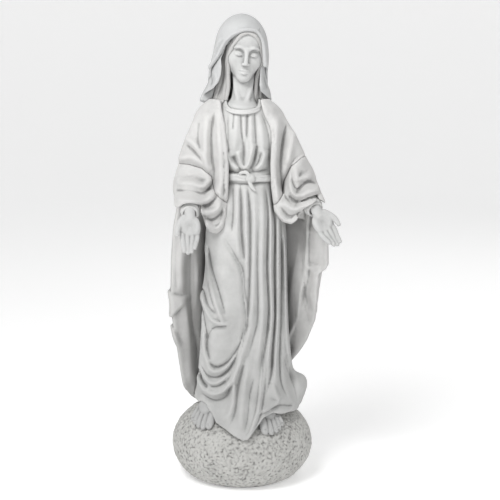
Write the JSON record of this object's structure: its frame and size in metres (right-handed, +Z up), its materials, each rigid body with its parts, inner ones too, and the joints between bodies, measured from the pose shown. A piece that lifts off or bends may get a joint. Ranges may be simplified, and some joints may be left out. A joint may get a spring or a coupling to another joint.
{
  "type": "madonna statue",
  "caption": "Standing robed and veiled woman in cast stone with open lowered hands, on a rounded stippled boulder that rests on its flat underside.",
  "frame": {"origin": "centre of the felt pad's flat underside, on the surface the statue stands on", "axes": "+Z up; -Y is the way the figure faces; +X is the figure's left"},
  "size_m": [0.2761, 0.2294, 0.74],
  "materials": {
    "gown_stone": "matt pale grey cast stone, folds picked out with a dark antiquing wash",
    "mantle_stone": "matt pale grey cast stone, a little darker inside the folds",
    "veil_stone": "matt pale grey cast stone with a faint cool tint",
    "figure_stone": "smooth matt pale grey cast stone",
    "hair_stone": "grooved pale grey cast stone with dark wash between the strands",
    "stippled_stone": "rough stippled grey cast stone with dark wash in the hollows",
    "zinc_steel": "zinc plated",
    "felt_pad": "dark felt"
  },
  "bodies": {
    "root": {"base_pad": "felt_pad", "base_stone": "stippled_stone", "gown": "gown_stone", "sash": "gown_stone", "collar": "gown_stone", "mantle": "mantle_stone", "right_sleeve": "mantle_stone", "left_sleeve": "mantle_stone", "right_cuff": "gown_stone", "left_cuff": "gown_stone", "veil": "veil_stone", "underveil": "veil_stone", "head": "figure_stone", "hair": "hair_stone", "right_hand": "figure_stone", "left_hand": "figure_stone", "right_foot": "figure_stone", "left_foot": "figure_stone", "tie_rod": "zinc_steel", "rod_washer": "zinc_steel", "rod_nut": "zinc_steel", "neck_dowel": "zinc_steel", "right_hand_pin": "zinc_steel", "left_hand_pin": "zinc_steel"}
  },
  "joints": []
}
